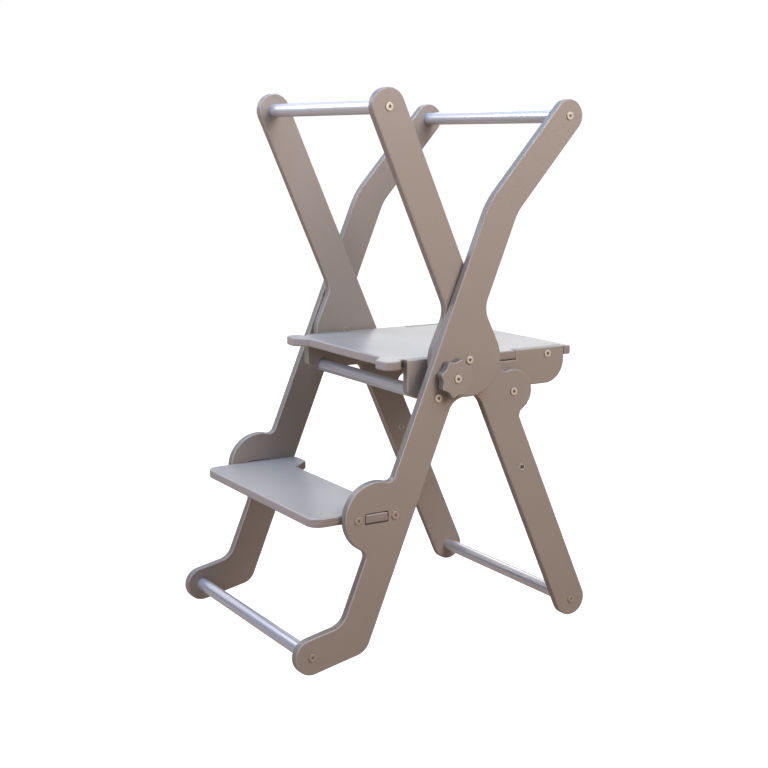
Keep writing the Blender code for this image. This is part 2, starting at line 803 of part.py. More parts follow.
# Fasteners: bolts into the dowels, screws into the edges of the boards
outer_face = OUTER_X + BOARD / 2
inner_face = INNER_X + BOARD / 2
apron_face = APRON_X + BOARD / 2
dowel_bolt = fastener_mesh("dowel_bolt", BOLT_R, BOARD + BOLT_GRIP + FIT)
board_screw = fastener_mesh("board_screw", SCREW_R, BOARD + SCREW_GRIP)
through_nut = FIT + NUT_T / 2
pivot_bolt = fastener_mesh("pivot_bolt", PIVOT_BOLT_R, 2 * BOARD + PANEL_GAP + through_nut)
platform_bolt = fastener_mesh("platform_bolt", PIVOT_BOLT_R, 2 * BOARD + APRON_GAP + through_nut)


def fastener(name, mesh, side, face, place, parent, material=cream):
    """Head seated on a board's face, shank towards the middle."""
    return put(name, mesh.copy(), (side * (face + FIT), *place), material, parent, heads_out(side))


for word, side in SIDES:
    fastener(f"front_foot_bolt_{word}", dowel_bolt, side, outer_face, FRONT_FOOT, None)
    fastener(f"upper_rear_bolt_{word}", dowel_bolt, side, outer_face, UPPER_REAR, None)
    fastener(f"rest_dowel_bolt_{word}", dowel_bolt, side, outer_face, REST_DOWEL, None)
    fastener(f"upper_front_bolt_{word}", dowel_bolt, side, inner_face, UPPER_FRONT, frame_pivot)
    fastener(f"rear_foot_bolt_{word}", dowel_bolt, side, inner_face, REAR_FOOT, frame_pivot)
    fastener(f"frame_pivot_bolt_{word}", pivot_bolt, side, outer_face, PIVOT, None)
    fastener(f"platform_pivot_bolt_{word}", platform_bolt, side, inner_face, PLATFORM_PIVOT, platform_pivot)
    for end, place in zip(("front", "rear"), step_screws):
        fastener(f"step_{end}_screw_{word}", board_screw, side, outer_face, place, None)
    for end, place in zip(("front", "rear"), apron_screws):
        fastener(f"apron_{end}_screw_{word}", board_screw, side, apron_face, place, platform_pivot)

# Nuts, washers and inserts, drawn with their height measured from a board's face
ring_bore = pivot_hole / math.cos(math.pi / RING_SIDES)
cap_nut = turned_mesh("cap_nut", [
    (0.0, -through_nut - FIT),
    (ring_bore, -through_nut - FIT),
    (ring_bore, -FIT),
    (NUT_R, -FIT),
    (NUT_R, CAP_CHAMFER - FIT - NUT_T),
    (NUT_R - CAP_CHAMFER, -FIT - NUT_T),
    (0.0, -FIT - NUT_T),
], RING_SIDES)
frame_washer = ring_mesh("frame_washer", ring_bore, WASHER_R, FIT, PANEL_GAP - FIT)
platform_bush = ring_mesh("platform_bush", ring_bore, WASHER_R, FIT, APRON_GAP - FIT)
knob_washer = ring_mesh("knob_washer", ring_bore, WASHER_R, FIT, FIT + KNOB_WASHER_T)
lock_nut = ring_mesh("lock_nut", ring_bore, LOCK_NUT_R, -FIT - LOCK_NUT_T, -FIT)
leg_insert = ring_mesh("leg_insert", INSERT_BORE, INSERT_R, -BOARD, 0.0)
knob_base = 2 * FIT + KNOB_WASHER_T
knob_bolt = fastener_mesh(
    "knob_bolt", PIVOT_BOLT_R, knob_base + 3 * BOARD + PANEL_GAP + LOCK_NUT_T
)
knob_hole = circle((0.0, 0.0), pivot_hole)


def part_at(name, mesh, side, face, place, parent, material):
    """A turned part whose height zero lies on a board's face."""
    return put(name, mesh.copy(), (side * face, *place), material, parent, heads_out(side))


for word, side in SIDES:
    knob_axis = axis_empty(f"lock_knob_axis_{word}", (side * outer_face, *KNOB))
    part_at(f"frame_pivot_nut_{word}", cap_nut, side, INNER_X - BOARD / 2, PIVOT, None, cream)
    part_at(f"frame_pivot_washer_{word}", frame_washer, side, inner_face, PIVOT, None, nylon)
    part_at(f"lock_spacer_{word}", frame_washer, side, inner_face, KNOB, None, nylon)
    part_at(f"lock_nut_{word}", lock_nut, side, INNER_X - BOARD / 2, KNOB, None, steel)
    part_at(f"platform_pivot_nut_{word}", cap_nut, side, APRON_X - BOARD / 2, PLATFORM_PIVOT,
            platform_pivot, cream)
    part_at(f"platform_pivot_bush_{word}", platform_bush, side, apron_face, PLATFORM_PIVOT,
            platform_pivot, nylon)
    part_at(f"leg_insert_{word}", leg_insert, side, inner_face, LEG_INSERT, frame_pivot, steel)
    part_at(f"knob_washer_{word}", knob_washer, side, outer_face, KNOB, knob_axis, nylon)
    knob_mesh = plate_mesh("lock_knob", [knob_outline(side * KNOB_TURN), knob_hole], BOARD)
    knob = part_at(f"lock_knob_{word}", knob_mesh, side, outer_face + knob_base + BOARD / 2, KNOB,
                   knob_axis, paint)
    soften(knob)
    fastener(f"knob_bolt_{word}", knob_bolt, side, outer_face + knob_base + BOARD, KNOB, knob_axis)
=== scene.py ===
import json
import math

import bmesh
import bpy
from mathutils import Matrix, Vector


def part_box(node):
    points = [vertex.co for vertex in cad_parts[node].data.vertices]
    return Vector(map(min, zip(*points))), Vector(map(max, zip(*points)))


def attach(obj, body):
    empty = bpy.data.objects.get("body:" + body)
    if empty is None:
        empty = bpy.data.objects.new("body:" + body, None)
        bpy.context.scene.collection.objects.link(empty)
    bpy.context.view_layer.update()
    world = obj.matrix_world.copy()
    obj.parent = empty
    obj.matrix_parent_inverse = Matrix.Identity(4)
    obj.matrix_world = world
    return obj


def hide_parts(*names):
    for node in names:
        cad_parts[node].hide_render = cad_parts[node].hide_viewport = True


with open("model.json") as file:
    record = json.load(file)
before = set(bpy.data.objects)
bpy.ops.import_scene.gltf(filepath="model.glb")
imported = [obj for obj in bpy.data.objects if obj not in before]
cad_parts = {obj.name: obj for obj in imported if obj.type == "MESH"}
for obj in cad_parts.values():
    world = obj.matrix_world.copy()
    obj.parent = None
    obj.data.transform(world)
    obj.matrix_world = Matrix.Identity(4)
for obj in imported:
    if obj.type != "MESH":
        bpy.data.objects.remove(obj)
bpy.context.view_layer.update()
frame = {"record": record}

bodies = frame["record"]["behaviour"]["bodies"]
body_of = {node: body for body, members in bodies.items() for node in members}
SIDES = (("left", -1), ("right", 1))

# Side panels of the outer frame: a front foot, a leg with the step's bracket, a hub and an arm that
# leans back, routed from one board. The rims are rounded and the whole board is sprayed with satin
# paint. The cut edges are painted darker than the faces, as painted shade, and their finish is
# rougher.
STRIP = 0.057
ARM_STRIP = 0.0525
HUB_R = 0.0595
HUB_FLANK = math.radians(48.0)
HUB_FILLET = 0.040
HUB_LOWER_FILLET = 0.030
OUTER_LEAN = math.radians(22.5)
OUTER_OFFSET = 0.0324
KNEE_Z = 0.0442
BOOT_FILLET = 0.030
ELBOW_RISE = 0.2372
ELBOW_ROUND = 0.080
BRACKET_R = 0.0571
BRACKET_OFFSET = 0.0332
BRACKET_FILLET = 0.012
RIM_ROUND = 0.0022
RIM_STEPS = 4
FINE_CHORD = 0.00002
FIT = 0.0003
TAUPE = (0.330, 0.282, 0.242, 1.0)
TAUPE_DARK = (0.300, 0.256, 0.219, 1.0)
# Cut-edge colours: darker than the face colours, as painted shade on the cut edges.
SHADED_EDGE_TAUPE = (0.195, 0.160, 0.128, 1.0)
SHADED_EDGE_TAUPE_DARK = (0.175, 0.143, 0.114, 1.0)
HALF = STRIP / 2
ARM_HALF = ARM_STRIP / 2
TINY = 0.000001
RIM_FOLD = math.radians(60.0)
CUT_FACE_LIMIT = 0.4
SHARP_ANGLE = math.radians(40.0)
EVEN_WEIGHT = 80
CLOUD_SCALE = 7.0
SPECK_SCALE = 420.0
PEEL_SCALE = 620.0
CLOUD_SHARE = 0.55
SPECK_SHARE = 0.25
SMOOTHER = 0.04
ROUGHER = 0.05


def middle(node):
    """Middle of a node's box."""
    low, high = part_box(node)
    return (low + high) / 2


def seen_from_side(node):
    """Where a round node lies in the side view, as (y, z)."""
    point = middle(node)
    return point.y, point.z


def along(point, angle, distance, offset=0.0):
    """A point further along a line, and to its right by the offset."""
    u, v = math.cos(angle), math.sin(angle)
    return point[0] + u * distance + v * offset, point[1] + v * distance - u * offset


def angle_of(start, end):
    """Direction of the line from start to end."""
    return math.atan2(end[1] - start[1], end[0] - start[0])


def crossing(point_a, angle_a, point_b, angle_b):
    """Where two lines of a drawing meet."""
    ua, va = math.cos(angle_a), math.sin(angle_a)
    ub, vb = math.cos(angle_b), math.sin(angle_b)
    du, dv = point_b[0] - point_a[0], point_b[1] - point_a[1]
    return along(point_a, angle_a, (du * vb - dv * ub) / (ua * vb - va * ub))


def disc_fillet(point, angle, disc, disc_r, fillet, ahead, flank=None):
    """Hollow corner between an edge line and a disc that stands out of it.

    A flank is the angle to the edge line of a straight stretch between the two.
    """
    base = along(point, angle, 0.0, fillet)
    u, v = math.cos(angle), math.sin(angle)
    du, dv = disc[0] - base[0], disc[1] - base[1]
    off = du * v - dv * u
    if flank is None:
        beyond = math.sqrt((disc_r + fillet) ** 2 - off ** 2)
    else:
        beyond = (disc_r + fillet + off * math.cos(flank)) / math.sin(flank)
    centre = along(base, angle, du * u + dv * v + ahead * beyond)
    return centre[0], centre[1], -fillet


def bend(before, corner, after, halves, radius):
    """Circle that rounds the right-hand edge of a strip where it bends."""
    first, second = angle_of(before, corner), angle_of(corner, after)
    start = along(corner, first, 0.0, halves[0] - radius)
    end = along(corner, second, 0.0, halves[1] - radius)
    centre = crossing(start, first, end, second)
    return centre[0], centre[1], radius


def chords(radius, turn, error=FINE_CHORD):
    """How many chords keep an arc within the chord error."""
    widest = 2 * math.acos(1 - error / max(radius, 2 * error))
    return max(1, math.ceil(abs(turn) / widest))


def draw_belt(sheet, stops):
    """Draw the loop that a belt makes round circles (u, v, radius), anticlockwise.

    A negative radius is a hollow corner and zero a sharp one. Each arc is
    spun from its first point, and straight edges join it to the next.
    """
    headings = []
    for (ua, va, ra), (ub, vb, rb) in zip(stops, stops[1:] + stops[:1]):
        span = math.hypot(ub - ua, vb - va)
        lean = max(-1.0, min(1.0, (ra - rb) / span))
        headings.append(math.atan2(vb - va, ub - ua) + math.asin(lean))
    opening = None
    last = None
    for index, (u, v, radius) in enumerate(stops):
        start, end = headings[index - 1], headings[index]
        turn = (end - start + math.pi) % (2 * math.pi) - math.pi
        if radius > 0 and turn < -TINY:
            turn += 2 * math.pi
        if radius < 0 and turn > TINY:
            turn -= 2 * math.pi
        corner = sheet.verts.new((*along((u, v), start, 0.0, radius), 0.0))
        if last is None:
            opening = corner
        else:
            sheet.edges.new((last, corner))
        last = corner
        if radius and abs(turn) > TINY:
            arc = bmesh.ops.spin(
                sheet, geom=[corner], cent=(u, v, 0.0), axis=(0.0, 0.0, 1.0), angle=turn,
                steps=chords(abs(radius), turn),
            )
            last = arc["geom_last"][0]
    sheet.edges.new((last, opening))
    bmesh.ops.remove_doubles(sheet, verts=sheet.verts, dist=TINY)


def thicken(sheet, thickness):
    """Raise a flat face into a board whose middle stays on the XY plane."""
    grown = bmesh.ops.extrude_face_region(sheet, geom=sheet.faces[:])
    upper = [item for item in grown["geom"] if isinstance(item, bmesh.types.BMVert)]
    bmesh.ops.translate(sheet, verts=upper, vec=(0.0, 0.0, thickness))
    bmesh.ops.translate(sheet, verts=sheet.verts, vec=(0.0, 0.0, -thickness / 2))
    bmesh.ops.recalc_face_normals(sheet, faces=sheet.faces)


def prism(stops, thickness):
    """Board with the outline of a belt, lying on its own XY plane."""
    sheet = bmesh.new()
    draw_belt(sheet, stops)
    bmesh.ops.contextual_create(sheet, geom=sheet.edges[:])
    thicken(sheet, thickness)
    return sheet


def plate(stops, thickness, rim=RIM_ROUND):
    """Board cut along a belt, with its two rims rounded."""
    sheet = prism(stops, thickness)
    rims = [
        edge for edge in sheet.edges
        if abs(edge.verts[0].co.z - edge.verts[1].co.z) < FIT
        and edge.calc_face_angle() > RIM_FOLD
    ]
    bmesh.ops.bevel(
        sheet, geom=rims, offset=rim, segments=RIM_STEPS, profile=0.5, affect="EDGES",
        material=-1, clamp_overlap=False,
    )
    return sheet


def drill_through(sheet, place, radius, reach):
    """Add a round cutter across the board, its sides standing just outside the radius."""
    steps = chords(radius, 2 * math.pi)
    outer = radius / math.cos(math.pi / steps)
    bmesh.ops.create_cone(
        sheet, cap_ends=True, segments=steps, radius1=outer, radius2=outer, depth=reach,
        matrix=Matrix.Translation((*place, 0.0)),
    )


def show(name, sheet, place, node, finishes, holes=None):
    """Put a finished piece in its node's place, with its holes cut and its shading evened.

    Faces that look across the sheet's own Z, such as a board's cut faces and
    a bolt's shank, take the last finish.
    """
    for face in sheet.faces:
        if abs(face.normal.z) < CUT_FACE_LIMIT:
            face.material_index = len(finishes) - 1
    mesh = bpy.data.meshes.new(name)
    sheet.to_mesh(mesh)
    sheet.free()
    blank = bpy.data.objects.new(name, mesh)
    bpy.context.scene.collection.objects.link(blank)
    for finish in finishes:
        mesh.materials.append(finish)
    if holes is not None:
        tool = bpy.data.meshes.new("holes")
        holes.to_mesh(tool)
        holes.free()
        cutter = bpy.data.objects.new("holes", tool)
        bpy.context.scene.collection.objects.link(cutter)
        cut = blank.modifiers.new("holes", "BOOLEAN")
        cut.operation = "DIFFERENCE"
        cut.solver = "EXACT"
        cut.object = cutter
        graph = bpy.context.evaluated_depsgraph_get()
        mesh = bpy.data.meshes.new_from_object(blank.evaluated_get(graph))
        blank.modifiers.clear()
        blank.data = mesh
        bpy.data.objects.remove(cutter)
    mesh.shade_smooth()
    mesh.set_sharp_from_angle(angle=SHARP_ANGLE)
    even = blank.modifiers.new("even shading", "WEIGHTED_NORMAL")
    even.keep_sharp = True
    even.weight = EVEN_WEIGHT
    graph = bpy.context.evaluated_depsgraph_get()
    mesh = bpy.data.meshes.new_from_object(blank.evaluated_get(graph))
    blank.modifiers.clear()
    blank.data = mesh
    mesh.name = name
    mesh.transform(place)
    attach(blank, body_of[node])
    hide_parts(node)


def upright(x):
    """Place of a board that stands in the side view: its own X is the world's Y, its Y is up."""
    return Matrix((
        (0.0, 0.0, 1.0, x), (1.0, 0.0, 0.0, 0.0), (0.0, 1.0, 0.0, 0.0), (0.0, 0.0, 0.0, 1.0),
    ))


def texture(tree, kind, place, **settings):
    """Texture node on the piece's own coordinates, with its sockets set by name."""
    made = tree.nodes.new(kind)
    tree.links.new(place, made.inputs["Vector"])
    for socket, value in settings.items():
        made.inputs[socket.replace("_", " ")].default_value = value
    return made.outputs[0]


def spread(tree, value, low, high, start=0.3, end=0.7):
    """Map a texture's value to a range."""
    made = tree.nodes.new("ShaderNodeMapRange")
    tree.links.new(value, made.inputs["Value"])
    made.inputs["From Min"].default_value = start
    made.inputs["From Max"].default_value = end
    made.inputs["To Min"].default_value = low
    made.inputs["To Max"].default_value = high
    return made.outputs["Result"]


def stretched(tree, scale):
    """The piece's own coordinates, drawn out or pressed together along each axis."""
    source = tree.nodes.new("ShaderNodeTexCoord")
    made = tree.nodes.new("ShaderNodeMapping")
    made.inputs["Scale"].default_value = scale
    tree.links.new(source.outputs["Object"], made.inputs["Vector"])
    return made.outputs["Vector"]


def satin_paint(name, grain, grain_depth, rough, peel_depth, pale=TAUPE, dark=TAUPE_DARK):
    """Sprayed satin paint over wood whose grain runs along the axis with the smallest scale."""
    material = bpy.data.materials.new(name)
    material.use_nodes = True
    tree = material.node_tree
    shader = tree.nodes["Principled BSDF"]
    even = stretched(tree, (1.0, 1.0, 1.0))
    cloud = texture(tree, "ShaderNodeTexNoise", even, Scale=CLOUD_SCALE, Detail=3.0)
    speck = texture(tree, "ShaderNodeTexNoise", even, Scale=SPECK_SCALE, Detail=2.0)
    fibre = texture(tree, "ShaderNodeTexNoise", stretched(tree, grain), Scale=1.0, Detail=4.0)
    peel = texture(tree, "ShaderNodeTexNoise", even, Scale=PEEL_SCALE, Detail=2.0)
    tone = tree.nodes.new("ShaderNodeMath")
    tone.operation = "ADD"
    tree.links.new(spread(tree, cloud, 0.0, CLOUD_SHARE), tone.inputs[0])
    tree.links.new(spread(tree, speck, 0.0, SPECK_SHARE), tone.inputs[1])
    blend = tree.nodes.new("ShaderNodeMix")
    blend.data_type = "RGBA"
    blend.inputs["A"].default_value = pale
    blend.inputs["B"].default_value = dark
    tree.links.new(tone.outputs["Value"], blend.inputs["Factor"])
    tree.links.new(blend.outputs["Result"], shader.inputs["Base Color"])
    sheen = spread(tree, cloud, rough - SMOOTHER, rough + ROUGHER)
    tree.links.new(sheen, shader.inputs["Roughness"])
    ridges = tree.nodes.new("ShaderNodeBump")
    ridges.inputs["Distance"].default_value = grain_depth
    tree.links.new(fibre, ridges.inputs["Height"])
    skin = tree.nodes.new("ShaderNodeBump")
    skin.inputs["Distance"].default_value = peel_depth
    tree.links.new(peel, skin.inputs["Height"])
    tree.links.new(ridges.outputs["Normal"], skin.inputs["Normal"])
    tree.links.new(skin.outputs["Normal"], shader.inputs["Normal"])
    return material


pivot = seen_from_side("frame_pivot_bolt_right")
front_foot = seen_from_side("front_foot_dowel")
upper_rear = seen_from_side("upper_rear_dowel")
rest_bar = seen_from_side("platform_rest_dowel")
knob = seen_from_side("lock_nut_right")
step_z = middle("step_board").z
outer_up = math.pi / 2 - OUTER_LEAN
outer_mid = along(pivot, outer_up, 0.0, -OUTER_OFFSET)
knee = crossing(outer_mid, outer_up, (0.0, KNEE_Z), 0.0)
elbow = crossing(outer_mid, outer_up, (0.0, pivot[1] + ELBOW_RISE), 0.0)
step_line = crossing(outer_mid, outer_up, (0.0, step_z), 0.0)
bracket = (step_line[0] - BRACKET_OFFSET / math.sin(outer_up), step_z)
leg_edge = along(outer_mid, outer_up, 0.0, HALF)
front_edge = along(outer_mid, outer_up + math.pi, 0.0, HALF)
outer_panel = [
    (*front_foot, HALF),
    (*knee, HALF),
    disc_fillet(leg_edge, outer_up, pivot, HUB_R, HUB_LOWER_FILLET, -1),
    (*pivot, HUB_R),
    disc_fillet(leg_edge, outer_up, pivot, HUB_R, HUB_FILLET, 1, HUB_FLANK),
    bend(knee, elbow, upper_rear, (HALF, ARM_HALF), -ELBOW_ROUND),
    (*upper_rear, ARM_HALF),
    bend(upper_rear, elbow, knee, (ARM_HALF, HALF), ELBOW_ROUND + STRIP),
    disc_fillet(front_edge, outer_up + math.pi, bracket, BRACKET_R, BRACKET_FILLET, -1),
    (*bracket, BRACKET_R),
    disc_fillet(front_edge, outer_up + math.pi, bracket, BRACKET_R, BRACKET_FILLET, 1),
    bend(elbow, knee, front_foot, (HALF, HALF), -BOOT_FILLET),
]
BOLT_BORE = 0.0033
PIVOT_BORE = 0.0043
SCREW_BORE = 0.0023
TENON_CLEAR = 0.0015
SLOT_ROUND = 0.002
TENON = 0.0388
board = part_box("outer_panel_right")[1].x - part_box("outer_panel_right")[0].x
step_screws = [seen_from_side(f"step_{end}_screw_right") for end in ("front", "rear")]
tenon_y = (step_screws[0][0] + step_screws[1][0]) / 2
slot_u = TENON / 2 + TENON_CLEAR - SLOT_ROUND
slot_v = board / 2 + TENON_CLEAR - SLOT_ROUND
tenon_slot = [
    (tenon_y - slot_u, step_z - slot_v, SLOT_ROUND),
    (tenon_y + slot_u, step_z - slot_v, SLOT_ROUND),
    (tenon_y + slot_u, step_z + slot_v, SLOT_ROUND),
    (tenon_y - slot_u, step_z + slot_v, SLOT_ROUND),
]
upright_paint = satin_paint(
    "taupe_paint_upright", (300.0, 22.0, 5.0), grain_depth=0.00006, rough=0.37, peel_depth=0.00002,
)
# Cut-edge paint: its darker colours are painted shade; its rougher finish and deeper grain are the
# edge's own.
shaded_edge_paint = satin_paint(
    "taupe_paint_cut_edge_shaded", (260.0, 60.0, 60.0), grain_depth=0.00009, rough=0.40,
    peel_depth=0.00003, pale=SHADED_EDGE_TAUPE, dark=SHADED_EDGE_TAUPE_DARK,
)
for word, _ in SIDES:
    node = f"outer_panel_{word}"
    holes = prism(tenon_slot, 2 * board)
    for place, radius in (
        (front_foot, BOLT_BORE), (upper_rear, BOLT_BORE), (rest_bar, BOLT_BORE),
        (pivot, PIVOT_BORE), (knob, PIVOT_BORE),
        (step_screws[0], SCREW_BORE), (step_screws[1], SCREW_BORE),
    ):
        drill_through(holes, place, radius, 2 * board)
    show(
        f"{node}_painted", plate(outer_panel, board), upright(middle(node).x), node,
        [upright_paint, shaded_edge_paint], holes,
    )

# Cross bars: turned beech dowels, sprayed with a silver-grey metallic lacquer, with the bolts' bores
# in their ends. They stand between the panels with a hair's gap, which shows as a thin dark line.
# Their lacquer is smooth and clouds over wide patches, while small metal parts have fine marks.
BAR_STEPS = 64
BOLT_GRIP = 0.0406
SILVER = (0.620, 0.620, 0.650, 1.0)
SILVER_DULL = (0.570, 0.570, 0.600, 1.0)
METAL_CLOUD_SCALE = 180.0
BAR_CLOUD_SCALE = 9.0
GRIT_SCALE = 1500.0
GRIT_DEPTH = 0.00002
METAL_SMOOTHER = 0.05
METAL_ROUGHER = 0.07


def turned(profile, steps, closed=False):
    """Solid turned about its own Z from (radius, height) points, its poles and seam closed."""
    work = bmesh.new()
    rim = [work.verts.new((radius, 0.0, height)) for radius, height in profile]
    for first, second in zip(rim, rim[1:]):
        work.edges.new((first, second))
    if closed:
        work.edges.new((rim[-1], rim[0]))
    bmesh.ops.spin(
        work, geom=work.verts[:] + work.edges[:], cent=(0.0, 0.0, 0.0), axis=(0.0, 0.0, 1.0),
        angle=2 * math.pi, steps=steps, use_merge=True,
    )
    bmesh.ops.remove_doubles(work, verts=work.verts, dist=TINY)
    bmesh.ops.recalc_face_normals(work, faces=work.faces)
    return work


def facing(side, x, place):
    """Place of a turned piece whose own Z points away from the middle."""
    turn = Matrix.Rotation(side * math.pi / 2, 4, "Y")
    return Matrix.Translation((x, place[0], place[1])) @ turn


def metal(name, colour, dull, metallic, rough, coat=0.0,
          cloud_scale=METAL_CLOUD_SCALE, grit_depth=GRIT_DEPTH):
    """Finish whose colour clouds a little, with fine marks unless their depth is zero."""
    material = bpy.data.materials.new(name)
    material.use_nodes = True
    tree = material.node_tree
    shader = tree.nodes["Principled BSDF"]
    even = stretched(tree, (1.0, 1.0, 1.0))
    cloud = texture(tree, "ShaderNodeTexNoise", even, Scale=cloud_scale, Detail=1.0)
    blend = tree.nodes.new("ShaderNodeMix")
    blend.data_type = "RGBA"
    blend.inputs["A"].default_value = colour
    blend.inputs["B"].default_value = dull
    tree.links.new(spread(tree, cloud, 0.0, 1.0), blend.inputs["Factor"])
    tree.links.new(blend.outputs["Result"], shader.inputs["Base Color"])
    sheen = spread(tree, cloud, rough - METAL_SMOOTHER, rough + METAL_ROUGHER)
    tree.links.new(sheen, shader.inputs["Roughness"])
    if grit_depth > 0.0:
        marks = tree.nodes.new("ShaderNodeBump")
        marks.inputs["Distance"].default_value = grit_depth
        grit = texture(tree, "ShaderNodeTexNoise", even, Scale=GRIT_SCALE, Detail=2.0)
        tree.links.new(grit, marks.inputs["Height"])
        tree.links.new(marks.outputs["Normal"], shader.inputs["Normal"])
    shader.inputs["Metallic"].default_value = metallic
    shader.inputs["Coat Weight"].default_value = coat
    return material


bar_lacquer = metal(
    "silver_lacquer_bar", SILVER, SILVER_DULL, metallic=0.7, rough=0.32,
    cloud_scale=BAR_CLOUD_SCALE, grit_depth=0.0,
)
for node in ("front_foot_dowel", "upper_rear_dowel", "platform_rest_dowel",
             "upper_front_dowel", "rear_foot_dowel"):
    low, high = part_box(node)
    half = (high.x - low.x) / 2
    radius = (high.z - low.z) / 2
    deep = half - BOLT_GRIP
    profile = [
        (0.0, deep), (BOLT_BORE, deep), (BOLT_BORE, half), (radius, half),
        (radius, -half), (BOLT_BORE, -half), (BOLT_BORE, -deep), (0.0, -deep),
    ]
    show(
        f"{node}_painted", turned(profile, BAR_STEPS), facing(1, 0.0, seen_from_side(node)),
        node, [bar_lacquer],
    )

# Step: one board with a tenon at each end, pushed through the brackets, and two ears behind that
# stiffen it against the panels. Screws through the panels hold it on each side of the tenon.
STEP_CORNER = 0.022
STEP_DEPTH = 0.1410
STEP_EAR_WIDTH = 0.050
STEP_EAR_SLOPE = 0.024
STEP_EAR_ROUND = 0.014
SCREW_REACH = 0.0646
LEVEL_RIM = 0.0028
# Level boards' cut-edge colours: a little darker than their tops, as painted shade.
SHADED_LEVEL_EDGE = (0.300, 0.252, 0.222, 1.0)
SHADED_LEVEL_EDGE_DARK = (0.275, 0.232, 0.204, 1.0)


def both_halves(half):
    """Whole belt of a board from its right half, listed from front to rear."""
    return half + [(-u, v, radius) for u, v, radius in reversed(half)]


def flat_at(z):
    """Place of a board that lies level."""
    return Matrix.Translation((0.0, 0.0, z))


def edge_bores(places, reach):
    """Cutter for screws that run along X into both ends of a level board."""
    work = bmesh.new()
    steps = chords(SCREW_BORE, 2 * math.pi)
    for x, y in places:
        bmesh.ops.create_cone(
            work, cap_ends=True, segments=steps, radius1=SCREW_BORE, radius2=SCREW_BORE,
            depth=reach,
            matrix=Matrix.Translation((x, y, 0.0)) @ Matrix.Rotation(math.pi / 2, 4, "Y"),
        )
    return work


step_low, step_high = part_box("step_board")
step_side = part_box("outer_panel_right")[0].x - FIT
step_rear = step_low.y + STEP_DEPTH
step_ear = step_side - STEP_EAR_WIDTH
step_outline = both_halves([
    (step_side - STEP_CORNER, step_low.y + STEP_CORNER, STEP_CORNER),
    (step_side, tenon_y - TENON / 2, 0.0),
    (step_high.x, tenon_y - TENON / 2, 0.0),
    (step_high.x, tenon_y + TENON / 2, 0.0),
    (step_side, tenon_y + TENON / 2, 0.0),
    (step_side - STEP_EAR_ROUND, step_high.y - STEP_EAR_ROUND, STEP_EAR_ROUND),
    (step_ear + STEP_EAR_ROUND, step_high.y - STEP_EAR_ROUND, STEP_EAR_ROUND),
    (step_ear - STEP_EAR_SLOPE, step_rear, 0.0),
])
level_paint = satin_paint(
    "taupe_paint_level", (5.0, 24.0, 300.0), grain_depth=0.00006, rough=0.34, peel_depth=0.00002,
)
# Cut-edge paint of the level boards: its darker colours are painted shade; its rougher finish is the
# edge's own.
shaded_level_edge_paint = satin_paint(
    "taupe_paint_level_edge_shaded", (60.0, 60.0, 260.0), grain_depth=0.00009, rough=0.42,
    peel_depth=0.00003, pale=SHADED_LEVEL_EDGE, dark=SHADED_LEVEL_EDGE_DARK,
)
show(
    "step_board_painted", plate(step_outline, board, LEVEL_RIM), flat_at(step_z), "step_board",
    [level_paint, shaded_level_edge_paint],
    edge_bores([(side * step_side, y) for side in (-1, 1) for y, _ in step_screws], SCREW_REACH),
)

# Side panels of the inner frame: one straight leg from the rear foot to the front of the top, with
# the hub in front, the lobe that carries the platform behind, and a curved slot for the clamp bolt.
LOBE_R = 0.0365
LOBE_FILLET = 0.010
LOBE_LOWER_FILLET = 0.012
FOLD = math.radians(42.0)
SLOT_MARGIN = math.radians(2.0)
INSERT_BORE = 0.0065
rear_foot = seen_from_side("rear_foot_dowel")
upper_front = seen_from_side("upper_front_dowel")
platform_pivot = seen_from_side("platform_pivot_bolt_right")
leg_hole = seen_from_side("leg_insert_right")
inner_up = angle_of(rear_foot, upper_front)
rear_edge = along(rear_foot, inner_up, 0.0, HALF)
inner_front_edge = along(rear_foot, inner_up + math.pi, 0.0, HALF)
inner_panel = [
    (*rear_foot, HALF),
    disc_fillet(rear_edge, inner_up, platform_pivot, LOBE_R, LOBE_LOWER_FILLET, -1),
    (*platform_pivot, LOBE_R),
    disc_fillet(rear_edge, inner_up, platform_pivot, LOBE_R, LOBE_FILLET, 1),
    (*upper_front, HALF),
    disc_fillet(inner_front_edge, inner_up + math.pi, pivot, HUB_R, HUB_FILLET, -1, HUB_FLANK),
    (*pivot, HUB_R),
    disc_fillet(inner_front_edge, inner_up + math.pi, pivot, HUB_R, HUB_LOWER_FILLET, 1),
]


def curved_slot(centre, radius, start, end, half_width, thickness):
    """Cutter that follows an arc about the centre, with round ends."""
    work = bmesh.new()
    inner = along(centre, start, radius - half_width)
    outer = along(centre, start, radius + half_width)
    first = work.verts.new((*inner, 0.0))
    second = work.verts.new((*outer, 0.0))
    edge = work.edges.new((first, second))
    bmesh.ops.spin(
        work, geom=[first, second, edge], cent=(*centre, 0.0), axis=(0.0, 0.0, 1.0),
        angle=end - start, steps=chords(radius + half_width, end - start),
    )
    for angle, way in ((start, -1), (end, 1)):
        base = along(centre, angle, radius)
        tip = work.verts.new((*along(centre, angle, radius + half_width), 0.0))
        bmesh.ops.spin(
            work, geom=[tip], cent=(*base, 0.0), axis=(0.0, 0.0, 1.0), angle=way * math.pi,
            steps=chords(half_width, math.pi),
        )
    bmesh.ops.remove_doubles(work, verts=work.verts, dist=TINY)
    rim = [item for item in work.edges if len(item.link_faces) < 2]
    bmesh.ops.delete(work, geom=work.faces[:], context="FACES_ONLY")
    inside = [item for item in work.edges if item not in rim]
    bmesh.ops.delete(work, geom=inside, context="EDGES")
    bmesh.ops.contextual_create(work, geom=work.edges[:])
    thicken(work, thickness)
    return work


